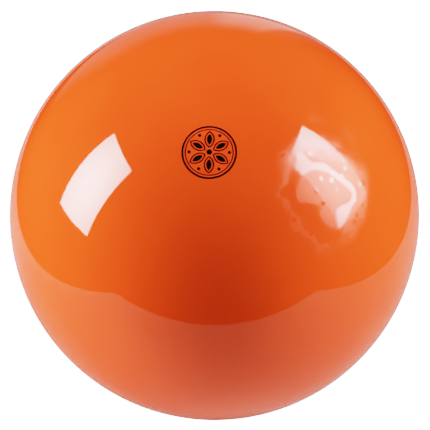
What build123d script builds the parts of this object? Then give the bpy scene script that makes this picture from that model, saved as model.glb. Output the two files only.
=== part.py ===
from build123d import *

import os

# A hollow moulded gymnastics ball, 190 mm across, in millimetres.
# The origin is the ball's centre, +Z is up, and the front of the ball looks along -Y.
# The inflation valve sits in the back of the ball, on the +Y axis. Depths are measured
# along that axis, from the ball's surface towards its centre.

# Ball
BALL_DIAMETER = 190.0
WALL = 3.0

# Boss: the thickened pad inside the wall that grips the valve
BOSS_DIAMETER = 20.0
BOSS_DEPTH = 11.0
BOSS_ROOT_FILLET = 3.0
BOSS_RIM_CHAMFER = 1.0

# Valve housing: a rubber bush bonded into the boss
HOUSING_DIAMETER = 11.0
FLANGE_DIAMETER = 16.0
FLANGE_THICKNESS = 2.0
FLANGE_FILLET = 0.6
SLEEVE_OVERHANG = 2.0       # how far the sleeve runs on past the core's body

# Valve plug: a flush stopper with a sealing shank
PLUG_HEAD_DIAMETER = 7.0
PLUG_HEAD_THICKNESS = 1.8
PLUG_HEAD_FILLET = 0.35
PLUG_SHANK_DIAMETER = 3.4
PLUG_SHANK_LENGTH = 5.6
PLUG_TIP_CHAMFER = 0.6
RIB_DIAMETER = 3.9
RIB_WIDTH = 0.7
RIB_COUNT = 2
RIB_PITCH = 1.9
PRY_NOTCH_RADIUS = 1.0

# Valve core: a self-sealing insert with a blind needle channel
CORE_DIAMETER = 6.4
CORE_LENGTH = 7.5
LIP_SPAN = 5.5
LIP_WIDTH = 1.8
LIP_LENGTH = 4.0
LIP_CORNER_RADIUS = 0.6
NEEDLE_DIAMETER = 2.0
CHANNEL_LENGTH = 6.0
CHANNEL_LEAD_IN = 0.4

# Printed emblem: two rings around six petals and six dots, in a thin film of ink
EMBLEM_DIAMETER = 24.0
EMBLEM_ELEVATION = 46.7
EMBLEM_TURN = -2.0
INK_THICKNESS = 0.05
OUTER_RING_WIDTH = 0.8
INNER_RING_WIDTH = 0.4
RING_GAP = 0.7
PETAL_COUNT = 6
PETAL_START = 1.9
PETAL_WIDTH = 4.4
PETAL_LINE = 0.5
PETAL_CORE_INSET = 1.1
HUB_DIAMETER = 2.4
DOT_DIAMETER = 1.4

# Clearances and gaps
PLUG_CLEARANCE = 0.05       # radial, between the plug's ribs or head and the housing
SEAT_CLEARANCE = 0.05       # along the axis, under the plug's head
SHANK_END_GAP = 0.6         # between the plug's tip and the core
PETAL_GAP = 0.5             # between the petals' tips and the inner ring
DOT_GAP = 0.7               # between the dots and the inner ring

# Sizes that follow from those above
BALL_RADIUS = BALL_DIAMETER / 2
HEAD_POCKET_DIAMETER = PLUG_HEAD_DIAMETER + 2 * PLUG_CLEARANCE
HEAD_POCKET_DEPTH = PLUG_HEAD_THICKNESS + SEAT_CLEARANCE
PLUG_BORE_DIAMETER = RIB_DIAMETER + 2 * PLUG_CLEARANCE
CORE_DEPTH = PLUG_HEAD_THICKNESS + PLUG_SHANK_LENGTH + SHANK_END_GAP
HOUSING_LENGTH = CORE_DEPTH + CORE_LENGTH + SLEEVE_OVERHANG
INNER_RING_RADIUS = EMBLEM_DIAMETER / 2 - OUTER_RING_WIDTH - RING_GAP
PETAL_END = INNER_RING_RADIUS - INNER_RING_WIDTH - PETAL_GAP
PETAL_MIDDLE = (PETAL_START + PETAL_END) / 2
DOT_PITCH_RADIUS = INNER_RING_RADIUS - INNER_RING_WIDTH - DOT_GAP - DOT_DIAMETER / 2


def at_depth(depth):
    """The plane across the valve's axis at this depth, facing out of the ball."""
    return Plane(origin=(0, BALL_RADIUS - depth, 0), x_dir=(1, 0, 0), z_dir=(0, 1, 0))


os.makedirs("parts", exist_ok=True)

# Ball wall: a hollow sphere with the valve's boss on its inside
with BuildPart() as ball_wall:
    Sphere(radius=BALL_RADIUS)
    Sphere(radius=BALL_RADIUS - WALL, mode=Mode.SUBTRACT)
    with BuildSketch(at_depth(BOSS_DEPTH)):
        Circle(BOSS_DIAMETER / 2)
    # The boss runs half-way into the wall, so that the two are one piece.
    extrude(amount=BOSS_DEPTH - WALL / 2)
    boss_circles = ball_wall.edges().filter_by(GeomType.CIRCLE)
    boss_circles = boss_circles.filter_by(lambda edge: edge.radius < BOSS_DIAMETER).sort_by(Axis.Y)
    fillet(boss_circles[-1], radius=BOSS_ROOT_FILLET)
    boss_rim = ball_wall.faces().filter_by(Axis.Y).edges()
    chamfer(boss_rim, length=BOSS_RIM_CHAMFER)
    with BuildSketch(at_depth(BOSS_DEPTH)):
        Circle(HOUSING_DIAMETER / 2)
    extrude(amount=BOSS_DEPTH, mode=Mode.SUBTRACT)
ball_wall.part.label = "ball_wall"

# Valve housing: the stem fills the boss's hole, the flange lies against the boss's inner face,
# and the sleeve beyond it holds the core
with BuildPart() as valve_housing:
    with BuildSketch(at_depth(HOUSING_LENGTH)):
        Circle(HOUSING_DIAMETER / 2)
    extrude(amount=HOUSING_LENGTH)
    Sphere(radius=BALL_RADIUS, mode=Mode.INTERSECT)
    with BuildSketch(at_depth(BOSS_DEPTH + FLANGE_THICKNESS)):
        Circle(FLANGE_DIAMETER / 2)
    extrude(amount=FLANGE_THICKNESS)
    flange_rim = valve_housing.edges().filter_by(GeomType.CIRCLE).group_by(SortBy.RADIUS)[-1]
    fillet(flange_rim.sort_by(Axis.Y)[0], radius=FLANGE_FILLET)
    with BuildSketch(at_depth(HEAD_POCKET_DEPTH)):
        Circle(HEAD_POCKET_DIAMETER / 2)
    extrude(amount=HEAD_POCKET_DEPTH, mode=Mode.SUBTRACT)
    with BuildSketch(at_depth(CORE_DEPTH)):
        Circle(PLUG_BORE_DIAMETER / 2)
    extrude(amount=CORE_DEPTH, mode=Mode.SUBTRACT)
    with BuildSketch(at_depth(HOUSING_LENGTH)):
        Circle(CORE_DIAMETER / 2)
    extrude(amount=HOUSING_LENGTH - CORE_DEPTH, mode=Mode.SUBTRACT)
    # A fingernail or a pump's key goes into this notch to lift the plug's head.
    with BuildSketch(at_depth(HEAD_POCKET_DEPTH)):
        with Locations((0, HEAD_POCKET_DIAMETER / 2)):
            Circle(PRY_NOTCH_RADIUS)
    extrude(amount=HEAD_POCKET_DEPTH, mode=Mode.SUBTRACT)
valve_housing.part.label = "valve_housing"

# Valve core: a plain insert whose inner end narrows to the two closed lips that seal it
with BuildPart() as valve_core:
    with BuildSketch(at_depth(CORE_DEPTH + CORE_LENGTH)):
        Circle(CORE_DIAMETER / 2)
    extrude(amount=CORE_LENGTH)
    with BuildSketch(at_depth(CORE_DEPTH + CORE_LENGTH)):
        Circle(CORE_DIAMETER / 2)
    with BuildSketch(at_depth(CORE_DEPTH + CORE_LENGTH + LIP_LENGTH)):
        RectangleRounded(LIP_SPAN, LIP_WIDTH, radius=LIP_CORNER_RADIUS)
    loft()
    with BuildSketch(at_depth(CORE_DEPTH + CHANNEL_LENGTH)):
        Circle(NEEDLE_DIAMETER / 2)
    extrude(amount=CHANNEL_LENGTH, mode=Mode.SUBTRACT)
    channel_mouth = valve_core.edges().filter_by(GeomType.CIRCLE).sort_by(Axis.Y)[-2:]
    chamfer(channel_mouth.sort_by(SortBy.RADIUS)[0], length=CHANNEL_LEAD_IN)
valve_core.part.label = "valve_core"

# Valve plug: its head follows the ball's surface, and ribs on its shank seal the bore
with BuildPart() as valve_plug:
    with BuildSketch(at_depth(PLUG_HEAD_THICKNESS)):
        Circle(PLUG_HEAD_DIAMETER / 2)
    extrude(amount=PLUG_HEAD_THICKNESS)
    Sphere(radius=BALL_RADIUS, mode=Mode.INTERSECT)
    head_rim = valve_plug.edges().filter_by(GeomType.CIRCLE).sort_by(Axis.Y)[-1]
    fillet(head_rim, radius=PLUG_HEAD_FILLET)
    with BuildSketch(at_depth(PLUG_HEAD_THICKNESS + PLUG_SHANK_LENGTH)):
        Circle(PLUG_SHANK_DIAMETER / 2)
    extrude(amount=PLUG_SHANK_LENGTH)
    chamfer(valve_plug.edges().sort_by(Axis.Y)[0], length=PLUG_TIP_CHAMFER)
    for rib in range(RIB_COUNT):
        rib_depth = PLUG_HEAD_THICKNESS + RIB_PITCH * (rib + 1)
        with BuildSketch(at_depth(rib_depth)):
            Circle(RIB_DIAMETER / 2)
        extrude(amount=RIB_WIDTH)
valve_plug.part.label = "valve_plug"

# Printed emblem: the flat artwork is carried out along the emblem's own axis, and what lies
# between the ball's surface and the top of the ink is kept
emblem_out = Vector(0, -1, 0).rotate(Axis.X, -EMBLEM_ELEVATION).rotate(Axis.Z, EMBLEM_TURN)
emblem_right = Vector(1, 0, 0).rotate(Axis.Z, EMBLEM_TURN)
emblem_plane = Plane(origin=(0, 0, 0), x_dir=emblem_right, z_dir=emblem_out)

with BuildSketch() as petal_shape:
    with BuildLine():
        ThreePointArc((0, PETAL_START), (PETAL_WIDTH / 2, PETAL_MIDDLE), (0, PETAL_END))
        ThreePointArc((0, PETAL_START), (-PETAL_WIDTH / 2, PETAL_MIDDLE), (0, PETAL_END))
    make_face()

with BuildSketch() as petal:
    add(petal_shape.sketch)
    offset(petal_shape.sketch, amount=-PETAL_LINE, mode=Mode.SUBTRACT)
    offset(petal_shape.sketch, amount=-PETAL_CORE_INSET, mode=Mode.ADD)

with BuildPart() as printed_emblem:
    with BuildSketch(emblem_plane):
        Circle(EMBLEM_DIAMETER / 2)
        Circle(EMBLEM_DIAMETER / 2 - OUTER_RING_WIDTH, mode=Mode.SUBTRACT)
    with BuildSketch(emblem_plane):
        Circle(INNER_RING_RADIUS)
        Circle(INNER_RING_RADIUS - INNER_RING_WIDTH, mode=Mode.SUBTRACT)
    with BuildSketch(emblem_plane):
        Circle(HUB_DIAMETER / 2)
        with PolarLocations(0, PETAL_COUNT):
            add(petal.sketch)
        with PolarLocations(DOT_PITCH_RADIUS, PETAL_COUNT):
            Circle(DOT_DIAMETER / 2)
    extrude(amount=BALL_DIAMETER)
    Sphere(radius=BALL_RADIUS + INK_THICKNESS, mode=Mode.INTERSECT)
    Sphere(radius=BALL_RADIUS, mode=Mode.SUBTRACT)
printed_emblem.part.label = "printed_emblem"

export_step(ball_wall.part, "parts/ball_wall.step")
export_step(valve_housing.part, "parts/valve_housing.step")
export_step(valve_core.part, "parts/valve_core.step")
export_step(valve_plug.part, "parts/valve_plug.step")
export_step(printed_emblem.part, "parts/printed_emblem.step")
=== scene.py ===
from math import asin, atan2, cos, pi, radians, sin, sqrt

import bmesh
import bpy
from mathutils import Matrix, Vector


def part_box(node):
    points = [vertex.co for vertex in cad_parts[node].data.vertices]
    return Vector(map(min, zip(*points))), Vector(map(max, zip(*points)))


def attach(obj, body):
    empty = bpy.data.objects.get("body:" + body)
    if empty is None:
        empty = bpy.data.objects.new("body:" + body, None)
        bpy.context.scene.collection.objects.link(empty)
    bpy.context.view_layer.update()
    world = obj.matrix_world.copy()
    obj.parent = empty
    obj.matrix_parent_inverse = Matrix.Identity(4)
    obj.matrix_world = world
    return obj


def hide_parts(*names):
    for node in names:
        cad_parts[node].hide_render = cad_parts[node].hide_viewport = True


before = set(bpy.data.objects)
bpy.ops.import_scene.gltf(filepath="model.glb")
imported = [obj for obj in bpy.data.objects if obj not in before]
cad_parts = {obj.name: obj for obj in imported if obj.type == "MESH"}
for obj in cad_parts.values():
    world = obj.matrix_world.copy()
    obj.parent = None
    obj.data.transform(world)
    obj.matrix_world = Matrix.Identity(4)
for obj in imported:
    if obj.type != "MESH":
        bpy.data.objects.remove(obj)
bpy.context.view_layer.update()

# Every size is in metres, in the part's own frame: the ball's centre is the origin, +Z is up,
# the front looks along -Y, and the valve's axis is +Y. Depths run from the ball's surface inwards.
MM = 0.001
VALVE_AXIS = Vector((0, 1, 0))
SHARP_ANGLE = radians(30)       # an edge that turns by more than this stays sharp
INK_SHARP_ANGLE = radians(40)

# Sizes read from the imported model
wall_low, wall_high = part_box("ball_wall")
BALL_RADIUS = (wall_high.z - wall_low.z) / 2
emblem_low, emblem_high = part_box("printed_emblem")
emblem_middle = (emblem_low + emblem_high) / 2

# Ball shell
WALL = 3.0 * MM
BOSS_RADIUS = 10.0 * MM
BOSS_DEPTH = 11.0 * MM
BOSS_RIM_CHAMFER = 1.0 * MM
VALVE_HOLE_RADIUS = 5.5 * MM
HOLE_EDGE_ROUND = 0.25 * MM
SHELL_TURN_STEPS = 320      # round the valve's axis
OUTER_ARC_STEPS = 150       # from the front pole to the valve's hole
INNER_ARC_STEPS = 56
HOLE_EDGE_STEPS = 3

# Printed emblem
EMBLEM_ELEVATION = atan2(emblem_middle.z, -emblem_middle.y)
EMBLEM_TURN = atan2(emblem_middle.x, -emblem_middle.y)
EMBLEM_RADIUS = (emblem_high.x - emblem_low.x) / 2
INK_THICKNESS = 0.05 * MM
OUTER_RING_WIDTH = 0.8 * MM
RING_GAP = 0.7 * MM
INNER_RING_RADIUS = EMBLEM_RADIUS - OUTER_RING_WIDTH - RING_GAP
INNER_RING_WIDTH = 0.4 * MM
PETAL_COUNT = 6
PETAL_START = 1.9 * MM
PETAL_GAP = 0.5 * MM        # between a petal's tip and the inner ring
PETAL_END = INNER_RING_RADIUS - INNER_RING_WIDTH - PETAL_GAP
PETAL_WIDTH = 4.4 * MM
PETAL_LINE = 0.5 * MM
PETAL_CORE_INSET = 1.1 * MM
HUB_RADIUS = 1.2 * MM
DOT_RADIUS = 0.7 * MM
DOT_GAP = 0.7 * MM          # between a dot and the inner ring
DOT_PITCH_RADIUS = INNER_RING_RADIUS - INNER_RING_WIDTH - DOT_GAP - DOT_RADIUS
RING_STEPS = 192
PETAL_SIDE_STEPS = 20
HUB_STEPS = 48
DOT_STEPS = 32

# Shell finish
PIGMENT_CLOUD = 35 * MM     # how far apart the pigment's paler and darker clouds are
LACQUER_WAVE = 22 * MM      # the lacquer's slow waves, and their height
LACQUER_WAVE_HEIGHT = 0.02 * MM
ORANGE_PEEL = 1.6 * MM      # the fine grain in the lacquer, and its height
ORANGE_PEEL_HEIGHT = 0.0006 * MM
SHELL_ROUGHNESS = 0.04
SHELL_SPECULAR = 0.3
LACQUER_WEIGHT = 0.4
LACQUER_ROUGHNESS = 0.03

# Smear on the lacquer
SMEAR_ROUGHNESS = 0.36
SMEARED_LACQUER_WEIGHT = 0.1
SMEAR_PLACE = (48 * MM, -66 * MM, 48 * MM)
SMEAR_RADIUS = 32 * MM
SMEAR_PATCH = 14 * MM       # the size of the noise that makes the smear's edge ragged
SMEAR_RAGGED = 26 * MM      # how far that noise moves the edge
WIPE_SPACING = 26 * MM
WIPE_REACH = 38 * MM
WIPE_STRENGTH = 0.7
WIPE_FAINT, WIPE_FULL = 0.88, 0.97      # how high the wave is where a wipe mark starts and is full
WIPE_WANDER = 3.5           # how far the mark strays from a circle
WAVE_PERIOD = 0.314         # how far apart a wave texture's rings are at scale 1
DROP_SPACING = 5 * MM
DROP_RADIUS = 1.0 * MM      # a dried drop is quite clear out to here
DROP_EDGE = 1.35 * MM       # and gone from here

# Other surfaces
INK_GRAIN = 1.2 * MM
INK_ROUGHNESS = 0.12
RUBBER_GRAIN = 0.9 * MM
RUBBER_GRAIN_HEIGHT = 0.02 * MM
REFRACTIVE_INDEX = 1.5      # near enough for soft PVC, lacquer, ink and rubber

# Camera: a long lens that looks down at the ball
CAMERA_ELEVATION = radians(30)
CAMERA_DISTANCE = 1.2
CAMERA_LENS_MM = 216
CAMERA_SENSOR_MM = 36
CAMERA_SHIFT = 0.0011628    # sets the ball just off the middle of the frame

# Room, which only the camera sees. Its glow is painted light: a brightly lit floor low down, a dimmer grey
# room higher up
ROOM_RADIUS = 12.0
FLOOR_GLOW = 12.0
ROOM_GLOW = 2.0
FLOOR_TOP = -3.6            # the room is at its brightest up to this height
ROOM_FOOT = -1.5            # and at its dimmest from this height up

# Table and backdrop, which only the ball's gloss sees. The table's greys are painted shade and the
# backdrop's glow is painted light
TABLE_LEFT, TABLE_RIGHT = -0.258, 0.275
TABLE_FRONT, TABLE_BACK = -0.245, 1.30
TABLE_SHADE_FROM, TABLE_SHADE_TO = -0.05, 0.25   # the table gets darker between these, going back
TABLE_PROFILE = ((TABLE_LEFT, 1.0), (0.0, 0.51), (TABLE_RIGHT, 0.76))   # its paleness from left to right
SWEEP_LEFT, SWEEP_RIGHT = -0.95, 0.45
SWEEP_FADE_FROM = 0.30      # the height at which the backdrop's light starts to fade
SWEEP_TOP = 0.75            # and the height at which it is gone
SWEEP_GLOW = 1.5            # the brightest that the backdrop gets
SWEEP_PROFILE = (           # how much of that it has at each place from left to right
    (SWEEP_LEFT, 0.0), (-0.60, 0.40), (-0.02, 0.46), (0.06, 0.93), (0.26, 0.93), (0.31, 0.20),
    (SWEEP_RIGHT, 0.05),
)

# Lights
SOFTBOX_TINT = (1.0, 0.98, 1.05)
SOFTBOX_RADIANCE = 50
SOFTBOX_MIDDLE_GLOW = 1.15      # share of the radiance at the middle of a softbox
SOFTBOX_EDGE_GLOW = 0.5         # and towards its corners
SOFTBOX_FADE_FROM, SOFTBOX_FADE_TO = 0.15, 0.75     # in widths from the middle
FILL_DISTANCE = 4.0
FILL_SIZE = 2.5
FILL_LIGHTS = (                 # name, azimuth and elevation in degrees, radiance
    ("left_fill", -92.5, 17, 48),
    ("right_fill", 93.5, 31, 40),
    ("left_bounce", -85, -38, 8),
    ("right_bounce", 85, -38, 9),
    ("floor_bounce", 0, -75, 6),
    ("front_fill", 0, 55, 0.4),
)
ROOM_AIR_GREY = 0.06

# Film
FILM_CONTRAST = 1.4         # slope of the dark end of the tone curve
FILM_WHITE = 1.02           # the output that very bright light comes near to
FILM_RANGE = 8.0            # the brightest light that the curve tells apart
FILM_POINTS = 14            # closest together where it is dark


def linear(hex_colour):
    """An sRGB colour such as "#ED4E21" as linear RGBA."""
    channels = [int(hex_colour[i:i + 2], 16) / 255 for i in (1, 3, 5)]
    return [c / 12.92 if c <= 0.04045 else ((c + 0.055) / 1.055) ** 2.4 for c in channels] + [1.0]


def add_node(tree, kind, inputs=None, **settings):
    """Add a node, set its properties, and give each input a value or a link from a socket."""
    node = tree.nodes.new(kind)
    for name, value in settings.items():
        setattr(node, name, value)
    for name, value in (inputs or {}).items():
        if isinstance(value, bpy.types.NodeSocket):
            tree.links.new(value, node.inputs[name])
        else:
            node.inputs[name].default_value = value
    return node


def new_material(name):
    """A named material with an empty tree and its output node."""
    material = bpy.data.materials.new(name)
    material.use_nodes = True
    material.node_tree.nodes.clear()
    output = material.node_tree.nodes.new("ShaderNodeOutputMaterial")
    return material, material.node_tree, output


def finish_piece(name, bm, material, smooth_angle):
    """Turn a bmesh into an object at the origin, smooth except across edges sharper than the angle."""
    mesh = bpy.data.meshes.new(name)
    bm.to_mesh(mesh)
    bm.free()
    mesh.shade_smooth()
    mesh.set_sharp_from_angle(angle=smooth_angle)
    mesh.materials.append(material)
    piece = bpy.data.objects.new(name, mesh)
    bpy.context.scene.collection.objects.link(piece)
    return piece


# Shapes

def line_to(bm, vert, x, y):
    """Draw a straight profile edge from a vertex, and return its other end."""
    end = bm.verts.new((x, y, 0))
    bm.edges.new((vert, end))
    return end


def arc_from(bm, vert, centre, angle, steps):
    """Draw a profile arc from a vertex round a centre, and return its other end."""
    swept = bmesh.ops.spin(bm, geom=[vert], cent=(*centre, 0), axis=(0, 0, 1), angle=angle, steps=steps)
    return [g for g in swept["geom_last"] if isinstance(g, bmesh.types.BMVert)][0]


def revolve(bm, steps):
    """Turn the profile about the valve's axis into a closed surface that faces outwards."""
    bmesh.ops.spin(
        bm, geom=bm.verts[:] + bm.edges[:], cent=(0, 0, 0), axis=VALVE_AXIS,
        angle=2 * pi, steps=steps, use_merge=True,
    )
    bmesh.ops.remove_doubles(bm, verts=bm.verts, dist=0.0001 * MM)
    bmesh.ops.recalc_face_normals(bm, faces=bm.faces)


def round_ring(bm, radius, y, size, segments):
    """Round the circular edge that has this radius and place on the valve's axis."""
    near = 0.01 * MM
    on_ring = {
        v for v in bm.verts
        if abs(v.co.y - y) < near and abs(Vector((v.co.x, v.co.z)).length - radius) < near
    }
    ring = [edge for edge in bm.edges if on_ring.issuperset(edge.verts)]
    bmesh.ops.bevel(
        bm, geom=ring, offset=size, offset_type="OFFSET", segments=segments,
        profile=0.5, affect="EDGES", material=-1,
    )


def make_ball_skin(material):
    """The moulded shell: outer sphere, valve hole, boss and inner sphere in one closed surface."""
    cavity_radius = BALL_RADIUS - WALL
    boss_face = BALL_RADIUS - BOSS_DEPTH
    boss_root = sqrt(cavity_radius ** 2 - BOSS_RADIUS ** 2)
    bm = bmesh.new()
    vert = bm.verts.new((0, -BALL_RADIUS, 0))
    vert = arc_from(bm, vert, (0, 0), pi - asin(VALVE_HOLE_RADIUS / BALL_RADIUS), OUTER_ARC_STEPS)
    hole_edge = vert.co.y
    vert = line_to(bm, vert, VALVE_HOLE_RADIUS, boss_face)
    vert = line_to(bm, vert, BOSS_RADIUS - BOSS_RIM_CHAMFER, boss_face)
    vert = line_to(bm, vert, BOSS_RADIUS, boss_face + BOSS_RIM_CHAMFER)
    vert = line_to(bm, vert, BOSS_RADIUS, boss_root)
    arc_from(bm, vert, (0, 0), asin(BOSS_RADIUS / cavity_radius) - pi, INNER_ARC_STEPS)
    revolve(bm, SHELL_TURN_STEPS)
    round_ring(bm, VALVE_HOLE_RADIUS, hole_edge, HOLE_EDGE_ROUND, HOLE_EDGE_STEPS)
    return finish_piece("ball_skin", bm, material, SHARP_ANGLE)


def draw_lens(bm, inset):
    """Draw a petal's closed outline, moved inwards by inset, and return its edges."""
    half_length = (PETAL_END - PETAL_START) / 2
    half_width = PETAL_WIDTH / 2
    middle = (PETAL_END + PETAL_START) / 2
    side_radius = (half_length ** 2 + half_width ** 2) / (2 * half_width)
    offset = side_radius - half_width
    radius = side_radius - inset
    reach = sqrt(radius ** 2 - offset ** 2)
    sweep = 2 * asin(reach / radius)
    before = set(bm.edges)
    start = bm.verts.new((0, middle - reach, 0))
    top = arc_from(bm, start, (-offset, middle), sweep, PETAL_SIDE_STEPS)
    end = arc_from(bm, top, (offset, middle), sweep, PETAL_SIDE_STEPS)
    bmesh.ops.pointmerge(bm, verts=[start, end], merge_co=start.co)
    return [edge for edge in bm.edges if edge not in before]


def fill_outline(bm, edges):
    """Fill a closed outline with small faces."""
    filled = bmesh.ops.edgenet_fill(bm, edges=edges)
    bmesh.ops.triangulate(bm, faces=filled["faces"])


def draw_ring(bm, outer, width):
    """A flat ring round the emblem's middle."""
    first = bm.verts.new((outer - width, 0, 0))
    line_to(bm, first, outer, 0)
    edge = first.link_edges[0]
    bmesh.ops.spin(
        bm, geom=[*edge.verts, edge], cent=(0, 0, 0), axis=(0, 0, 1),
        angle=2 * pi, steps=RING_STEPS, use_merge=True,
    )


def make_emblem(material):
    """The ink film: flat artwork laid on the ball along the emblem's axis, then given its thickness."""
    bm = bmesh.new()
    outline = draw_lens(bm, 0)
    outline += draw_lens(bm, PETAL_LINE)
    bmesh.ops.bridge_loops(bm, edges=outline)
    fill_outline(bm, draw_lens(bm, PETAL_CORE_INSET))
    dot_angle = pi / 2 - pi / PETAL_COUNT
    dot_place = DOT_PITCH_RADIUS * Vector((cos(dot_angle), sin(dot_angle), 0))
    bmesh.ops.create_circle(
        bm, cap_ends=True, segments=DOT_STEPS, radius=DOT_RADIUS, matrix=Matrix.Translation(dot_place),
    )
    repeated = bm.verts[:] + bm.edges[:] + bm.faces[:]
    bmesh.ops.spin(
        bm, geom=repeated, cent=(0, 0, 0), axis=(0, 0, 1),
        angle=2 * pi * (PETAL_COUNT - 1) / PETAL_COUNT, steps=PETAL_COUNT - 1, use_duplicate=True,
    )
    bmesh.ops.create_circle(bm, cap_ends=True, segments=HUB_STEPS, radius=HUB_RADIUS)
    draw_ring(bm, EMBLEM_RADIUS, OUTER_RING_WIDTH)
    draw_ring(bm, INNER_RING_RADIUS, INNER_RING_WIDTH)
    bmesh.ops.triangulate(bm, faces=bm.faces)

    turn = Matrix.Rotation(EMBLEM_TURN, 3, "Z") @ Matrix.Rotation(-EMBLEM_ELEVATION, 3, "X")
    right, out = turn @ Vector((1, 0, 0)), turn @ Vector((0, -1, 0))
    up = out.cross(right)
    for vert in bm.verts:
        x, y = vert.co.x, vert.co.y
        vert.co = right * x + up * y + out * sqrt(BALL_RADIUS ** 2 - x ** 2 - y ** 2)
    top = bmesh.ops.extrude_face_region(bm, geom=bm.faces[:], use_keep_orig=True)["geom"]
    lift = 1 + INK_THICKNESS / BALL_RADIUS
    top_verts = [g for g in top if isinstance(g, bmesh.types.BMVert)]
    bmesh.ops.scale(bm, vec=(lift, lift, lift), verts=top_verts)
    bmesh.ops.recalc_face_normals(bm, faces=bm.faces)
    return finish_piece("emblem_print", bm, material, INK_SHARP_ANGLE)


# Materials

def hand_smear(tree, place):
    """How much of a hazy smear, left by hands, lies on the gloss at each place, from 0 to 1.

    The smear has a ragged edge, one curved wipe mark that is clear inside it and hazy outside it,
    and small clear spots where drops have dried.
    """
    patches = add_node(tree, "ShaderNodeTexNoise", {
        "Vector": place, "Scale": 1 / SMEAR_PATCH, "Detail": 5.0,
    })
    to_smear = add_node(tree, "ShaderNodeVectorMath", {0: place, 1: SMEAR_PLACE}, operation="DISTANCE")
    ragged = add_node(tree, "ShaderNodeMath", {
        0: patches.outputs["Fac"], 1: SMEAR_RAGGED, 2: to_smear.outputs["Value"],
    }, operation="MULTIPLY_ADD")
    haze = add_node(tree, "ShaderNodeMapRange", {
        "Value": ragged.outputs["Value"], "From Min": SMEAR_RADIUS + SMEAR_RAGGED / 2,
        "From Max": SMEAR_RADIUS / 2 + SMEAR_RAGGED / 2,
    }, interpolation_type="SMOOTHSTEP")
    from_smear = add_node(tree, "ShaderNodeVectorMath", {0: place, 1: SMEAR_PLACE}, operation="SUBTRACT")
    wipes = add_node(tree, "ShaderNodeTexWave", {
        "Vector": from_smear.outputs["Vector"], "Scale": WAVE_PERIOD / WIPE_SPACING,
        "Distortion": WIPE_WANDER, "Detail": 1.0, "Detail Scale": 5.0,
    }, wave_type="RINGS", rings_direction="SPHERICAL")
    wipe_marks = add_node(tree, "ShaderNodeMapRange", {
        "Value": wipes.outputs["Fac"], "From Min": WIPE_FAINT, "From Max": WIPE_FULL,
        "To Max": WIPE_STRENGTH,
    })
    wipe_reach = add_node(tree, "ShaderNodeMapRange", {
        "Value": ragged.outputs["Value"], "From Min": WIPE_REACH + SMEAR_RAGGED / 2, "From Max": WIPE_REACH,
    })
    wiped = add_node(tree, "ShaderNodeMath", {
        0: wipe_marks.outputs["Result"], 1: wipe_reach.outputs["Result"],
    }, operation="MULTIPLY")
    change = add_node(tree, "ShaderNodeMath", {
        0: haze.outputs["Result"], 1: wiped.outputs["Value"],
    }, operation="SUBTRACT")
    smeared = add_node(tree, "ShaderNodeMath", {0: change.outputs["Value"]}, operation="ABSOLUTE")
    drops = add_node(tree, "ShaderNodeTexVoronoi", {"Vector": place, "Scale": 1 / DROP_SPACING})
    outside_drops = add_node(tree, "ShaderNodeMapRange", {
        "Value": drops.outputs["Distance"], "From Min": DROP_RADIUS / DROP_SPACING,
        "From Max": DROP_EDGE / DROP_SPACING,
    })
    dull = add_node(tree, "ShaderNodeMath", {
        0: smeared.outputs["Value"], 1: outside_drops.outputs["Result"],
    }, operation="MULTIPLY")
    return dull.outputs["Value"]


def make_shell_material():
    """Slush-moulded soft PVC, pigmented orange, under a clear gloss lacquer.

    The pigment is a shade uneven over a few centimetres. The lacquer gives sharp, clean
    reflections, and its slow waves and faint orange peel make their edges a little unsteady.
    Where hands have smeared it, the reflections are hazy and weaker.
    """
    material, tree, output = new_material("lacquered_soft_pvc")
    place = add_node(tree, "ShaderNodeTexCoord").outputs["Object"]
    cloud = add_node(tree, "ShaderNodeTexNoise", {
        "Vector": place, "Scale": 1 / PIGMENT_CLOUD, "Detail": 2.0,
    })
    pigment = add_node(tree, "ShaderNodeValToRGB", {"Fac": cloud.outputs["Fac"]})
    pigment.color_ramp.elements[0].position = 0.3
    pigment.color_ramp.elements[0].color = linear("#EB4E20")
    pigment.color_ramp.elements[1].position = 0.7
    pigment.color_ramp.elements[1].color = linear("#EF5222")
    waves = add_node(tree, "ShaderNodeTexNoise", {
        "Vector": place, "Scale": 1 / LACQUER_WAVE, "Detail": 1.0,
    })
    wavy = add_node(tree, "ShaderNodeBump", {
        "Height": waves.outputs["Fac"], "Strength": 1.0, "Distance": LACQUER_WAVE_HEIGHT,
    })
    peel = add_node(tree, "ShaderNodeTexNoise", {
        "Vector": place, "Scale": 1 / ORANGE_PEEL, "Detail": 1.0,
    })
    peeled = add_node(tree, "ShaderNodeBump", {
        "Height": peel.outputs["Fac"], "Strength": 1.0, "Distance": ORANGE_PEEL_HEIGHT,
        "Normal": wavy.outputs["Normal"],
    })
    smear = hand_smear(tree, place)
    rough = add_node(tree, "ShaderNodeMapRange", {
        "Value": smear, "To Min": SHELL_ROUGHNESS, "To Max": SMEAR_ROUGHNESS,
    })
    lacquer = add_node(tree, "ShaderNodeMapRange", {
        "Value": smear, "To Min": LACQUER_WEIGHT, "To Max": SMEARED_LACQUER_WEIGHT,
    })
    shader = add_node(tree, "ShaderNodeBsdfPrincipled", {
        "Base Color": pigment.outputs["Color"],
        "Roughness": rough.outputs["Result"],
        "IOR": REFRACTIVE_INDEX,
        "Specular IOR Level": SHELL_SPECULAR,
        "Coat Weight": lacquer.outputs["Result"],
        "Coat Roughness": LACQUER_ROUGHNESS,
        "Coat IOR": REFRACTIVE_INDEX,
        "Normal": peeled.outputs["Normal"],
        "Coat Normal": peeled.outputs["Normal"],
    })
    tree.links.new(shader.outputs["BSDF"], output.inputs["Surface"])
    return material


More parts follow.
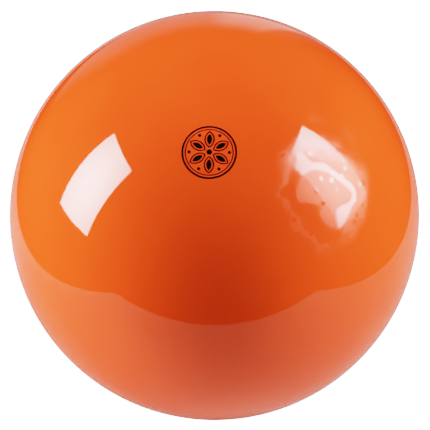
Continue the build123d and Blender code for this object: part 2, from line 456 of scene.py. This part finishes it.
def make_ink_material():
    """Black screen ink, which lies under the shell's lacquer; this material gives it a slight gloss but no
    coat: dense, with a slightly uneven edge of coverage.
    """
    material, tree, output = new_material("black_screen_ink")
    place = add_node(tree, "ShaderNodeTexCoord").outputs["Object"]
    grain = add_node(tree, "ShaderNodeTexNoise", {
        "Vector": place, "Scale": 1 / INK_GRAIN, "Detail": 3.0,
    })
    cover = add_node(tree, "ShaderNodeValToRGB", {"Fac": grain.outputs["Fac"]})
    cover.color_ramp.elements[0].position = 0.35
    cover.color_ramp.elements[0].color = linear("#0B0B0E")
    cover.color_ramp.elements[1].position = 0.75
    cover.color_ramp.elements[1].color = linear("#1D1412")
    shader = add_node(tree, "ShaderNodeBsdfPrincipled", {
        "Base Color": cover.outputs["Color"],
        "Roughness": INK_ROUGHNESS,
        "IOR": REFRACTIVE_INDEX,
    })
    tree.links.new(shader.outputs["BSDF"], output.inputs["Surface"])
    return material


def make_valve_material(name, light, dark, roughness):
    """Moulded rubber without lacquer: a fine-grained, dull skin that shows the mould's texture."""
    material, tree, output = new_material(name)
    place = add_node(tree, "ShaderNodeTexCoord").outputs["Object"]
    grain = add_node(tree, "ShaderNodeTexNoise", {
        "Vector": place, "Scale": 1 / RUBBER_GRAIN, "Detail": 3.0,
    })
    tint = add_node(tree, "ShaderNodeValToRGB", {"Fac": grain.outputs["Fac"]})
    tint.color_ramp.elements[0].position = 0.3
    tint.color_ramp.elements[0].color = linear(dark)
    tint.color_ramp.elements[1].position = 0.7
    tint.color_ramp.elements[1].color = linear(light)
    skin = add_node(tree, "ShaderNodeBump", {
        "Height": grain.outputs["Fac"], "Strength": 1.0, "Distance": RUBBER_GRAIN_HEIGHT,
    })
    shader = add_node(tree, "ShaderNodeBsdfPrincipled", {
        "Base Color": tint.outputs["Color"],
        "Roughness": roughness,
        "IOR": REFRACTIVE_INDEX,
        "Normal": skin.outputs["Normal"],
    })
    tree.links.new(shader.outputs["BSDF"], output.inputs["Surface"])
    return material


# Stage, lights and camera

def make_camera():
    """A camera with a long lens that looks down at the ball's centre."""
    data = bpy.data.cameras.new("camera")
    data.lens = CAMERA_LENS_MM
    data.sensor_width = CAMERA_SENSOR_MM
    data.shift_x = CAMERA_SHIFT
    data.shift_y = CAMERA_SHIFT
    camera = bpy.data.objects.new("camera", data)
    bpy.context.scene.collection.objects.link(camera)
    camera.location = CAMERA_DISTANCE * Vector((0, -cos(CAMERA_ELEVATION), sin(CAMERA_ELEVATION)))
    camera.rotation_euler = (-camera.location).to_track_quat("-Z", "Y").to_euler()
    bpy.context.scene.camera = camera


def make_room():
    """The bright white room behind the picture, which neither lights the ball nor shows in its gloss. Its
    glow is painted light: bright as a lit floor low down, greyer higher up.
    """
    bm = bmesh.new()
    bmesh.ops.create_uvsphere(bm, u_segments=96, v_segments=48, radius=ROOM_RADIUS)
    material, tree, output = new_material("room_painted_glow")
    place = add_node(tree, "ShaderNodeTexCoord").outputs["Object"]
    place = add_node(tree, "ShaderNodeSeparateXYZ", {"Vector": place})
    # Painted light: the glow is a bright lit floor low down and a dimmer grey room higher up
    glow = add_node(tree, "ShaderNodeMapRange", {
        "Value": place.outputs["Z"], "From Min": FLOOR_TOP, "From Max": ROOM_FOOT,
        "To Min": FLOOR_GLOW, "To Max": ROOM_GLOW,
    }, interpolation_type="SMOOTHSTEP")
    shader = add_node(tree, "ShaderNodeEmission", {"Strength": glow.outputs["Result"]})
    tree.links.new(shader.outputs["Emission"], output.inputs["Surface"])
    room = finish_piece("room", bm, material, SHARP_ANGLE)
    room.visible_diffuse = False
    room.visible_glossy = False
    room.visible_transmission = False
    room.visible_shadow = False


def seen_by_ball_only(card):
    """Make a card light the ball and show in its gloss, but stay out of the picture itself."""
    card.visible_camera = False
    card.visible_shadow = False


def ramp_along(tree, distance, profile):
    """A grey that follows a profile of (distance, level) pairs."""
    first, last = profile[0][0], profile[-1][0]
    share = add_node(tree, "ShaderNodeMapRange", {"Value": distance, "From Min": first, "From Max": last})
    ramp = add_node(tree, "ShaderNodeValToRGB", {"Fac": share.outputs["Result"]})
    stops = ramp.color_ramp.elements
    for place, level in profile[1:-1]:
        stops.new((place - first) / (last - first))
    for stop, (place, level) in zip(stops, profile):
        stop.color = (level, level, level, 1)
    return ramp.outputs["Color"]


def make_table():
    """The grey table round the ball, with painted shade: darker behind it and paler towards its sides."""
    bm = bmesh.new()
    corners = (
        (TABLE_LEFT, TABLE_FRONT), (TABLE_RIGHT, TABLE_FRONT),
        (TABLE_RIGHT, TABLE_BACK), (TABLE_LEFT, TABLE_BACK),
    )
    bm.faces.new([bm.verts.new((x, y, -BALL_RADIUS)) for x, y in corners])
    material, tree, output = new_material("table_painted_shade")
    place = add_node(tree, "ShaderNodeTexCoord").outputs["Object"]
    place = add_node(tree, "ShaderNodeSeparateXYZ", {"Vector": place})
    # Painted shade: the table's grey darkens going back from the ball and grows paler towards its sides
    shade = add_node(tree, "ShaderNodeMapRange", {
        "Value": place.outputs["Y"], "From Min": TABLE_SHADE_FROM, "From Max": TABLE_SHADE_TO,
    }, interpolation_type="SMOOTHSTEP")
    grey = add_node(tree, "ShaderNodeValToRGB", {"Fac": shade.outputs["Result"]})
    grey.color_ramp.elements[0].color = linear("#CDC8C5")
    grey.color_ramp.elements[1].color = linear("#8D8A88")
    level = ramp_along(tree, place.outputs["X"], TABLE_PROFILE)
    painted_table_shade = add_node(tree, "ShaderNodeVectorMath", {
        0: grey.outputs["Color"], 1: level,
    }, operation="MULTIPLY")
    shader = add_node(tree, "ShaderNodeBsdfDiffuse", {"Color": painted_table_shade.outputs["Vector"]})
    tree.links.new(shader.outputs["BSDF"], output.inputs["Surface"])
    seen_by_ball_only(finish_piece("table", bm, material, SHARP_ANGLE))


def make_sweep():
    """The pale backdrop behind the table, brighter to the right, whose light fades upwards."""
    bm = bmesh.new()
    corners = (
        (SWEEP_LEFT, -BALL_RADIUS), (SWEEP_RIGHT, -BALL_RADIUS),
        (SWEEP_RIGHT, SWEEP_TOP), (SWEEP_LEFT, SWEEP_TOP),
    )
    bm.faces.new([bm.verts.new((x, TABLE_BACK, z)) for x, z in corners])
    material, tree, output = new_material("backdrop_painted_glow")
    place = add_node(tree, "ShaderNodeTexCoord").outputs["Object"]
    place = add_node(tree, "ShaderNodeSeparateXYZ", {"Vector": place})
    # Painted light: the backdrop glows brighter to the right and fades upwards
    level = ramp_along(tree, place.outputs["X"], SWEEP_PROFILE)
    fade = add_node(tree, "ShaderNodeMapRange", {
        "Value": place.outputs["Z"], "From Min": SWEEP_FADE_FROM, "From Max": SWEEP_TOP,
        "To Min": SWEEP_GLOW, "To Max": 0.0,
    }, interpolation_type="SMOOTHSTEP")
    shader = add_node(tree, "ShaderNodeEmission", {
        "Color": level, "Strength": fade.outputs["Result"],
    })
    tree.links.new(shader.outputs["Emission"], output.inputs["Surface"])
    seen_by_ball_only(finish_piece("rear_sweep", bm, material, SHARP_ANGLE))


def softbox(name, foot, head, width):
    """A softbox that faces the ball, from the middle of its foot to the middle of its head.

    It shows in the gloss only, and is brightest at its middle.
    """
    foot, head = Vector(foot), Vector(head)
    tall = (head - foot).length
    data = bpy.data.lights.new(name, "AREA")
    data.shape = "RECTANGLE"
    data.size = width
    data.size_y = tall
    data.color = SOFTBOX_TINT
    data.energy = SOFTBOX_RADIANCE * pi * width * tall
    data.use_nodes = True
    tree = data.node_tree
    place = add_node(tree, "ShaderNodeNewGeometry").outputs["Parametric"]
    from_middle = add_node(tree, "ShaderNodeVectorMath", {
        0: place, 1: (0.5, 0.5, 0.0),
    }, operation="DISTANCE")
    glow = add_node(tree, "ShaderNodeMapRange", {
        "Value": from_middle.outputs["Value"], "From Min": SOFTBOX_FADE_FROM, "From Max": SOFTBOX_FADE_TO,
        "To Min": SOFTBOX_MIDDLE_GLOW, "To Max": SOFTBOX_EDGE_GLOW,
    })
    tree.links.new(glow.outputs["Result"], tree.nodes["Emission"].inputs["Strength"])
    up = (head - foot).normalized()
    across = up.cross(foot + head).normalized()
    back = across.cross(up)
    light = bpy.data.objects.new(name, data)
    bpy.context.scene.collection.objects.link(light)
    facing = Matrix((across, up, back)).transposed().to_4x4()
    light.matrix_world = Matrix.Translation((foot + head) / 2) @ facing
    light.visible_camera = False
    light.visible_diffuse = False


def fill_light(name, azimuth, elevation, radiance):
    """A broad square light aimed at the ball, which lights its colour but leaves no highlight."""
    data = bpy.data.lights.new(name, "AREA")
    data.shape = "SQUARE"
    data.size = FILL_SIZE
    data.energy = radiance * pi * FILL_SIZE ** 2
    light = bpy.data.objects.new(name, data)
    bpy.context.scene.collection.objects.link(light)
    towards = Vector((sin(azimuth) * cos(elevation), -cos(azimuth) * cos(elevation), sin(elevation)))
    light.location = FILL_DISTANCE * towards
    light.rotation_euler = towards.to_track_quat("Z", "Y").to_euler()
    light.visible_camera = False
    light.visible_glossy = False


def film_response(light):
    """How bright the picture shows this much light: dark tones are held down, bright ones level off."""
    strength = light ** FILM_CONTRAST
    return FILM_WHITE * strength / (strength + 1)


def set_tone_curve():
    """Give the picture the response of film."""
    settings = bpy.context.scene.view_settings
    settings.view_transform = "Standard"
    settings.use_curve_mapping = True
    mapping = settings.curve_mapping
    mapping.white_level = (FILM_RANGE, FILM_RANGE, FILM_RANGE)
    # The last of the four curves is the one for red, green and blue together
    curve = mapping.curves[3]
    curve.points[-1].location = (1, film_response(FILM_RANGE))
    for step in range(1, FILM_POINTS):
        x = (step / FILM_POINTS) ** 2
        curve.points.new(x, film_response(x * FILM_RANGE))
    mapping.update()


def set_world():
    """Dim, even light from the air of the room."""
    world = bpy.data.worlds.new("room")
    bpy.context.scene.world = world
    world.use_nodes = True
    background = world.node_tree.nodes["Background"]
    background.inputs["Color"].default_value = (1, 1, 1, 1)
    background.inputs["Strength"].default_value = ROOM_AIR_GREY
    world.cycles_visibility.glossy = False


make_camera()

shell_material = make_shell_material()
ink_material = make_ink_material()
# The bush: soft orange rubber, duller and a shade browner than the lacquered shell round it
bush_material = make_valve_material("moulded_orange_rubber", "#D9531F", "#CE4A1A", 0.5)
# The plug: the same kind of rubber, a little paler and glossier, because it is harder
plug_material = make_valve_material("moulded_stopper_rubber", "#DE5822", "#D24E1C", 0.42)
# The core: black and matt, so that the open valve looks deep
core_material = make_valve_material("black_butyl_rubber", "#1B1A19", "#121110", 0.7)

ball_skin = make_ball_skin(shell_material)
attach(ball_skin, "ball")
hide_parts("ball_wall")

emblem_print = make_emblem(ink_material)
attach(emblem_print, "ball")
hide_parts("printed_emblem")

for node_name, node_material in (
    ("valve_housing", bush_material), ("valve_plug", plug_material), ("valve_core", core_material),
):
    for material_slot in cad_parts[node_name].material_slots:
        material_slot.material = node_material

make_room()
make_table()
make_sweep()
softbox("left_softbox", foot=(-0.97, -0.146, 0.041), head=(-0.68, -0.163, 0.631), width=0.405)
softbox("right_softbox", foot=(0.985, -0.147, 0.11), head=(0.70, -0.173, 0.82), width=0.44)
for light_name, azimuth, elevation, radiance in FILL_LIGHTS:
    fill_light(light_name, radians(azimuth), radians(elevation), radiance)
set_world()
set_tone_curve()
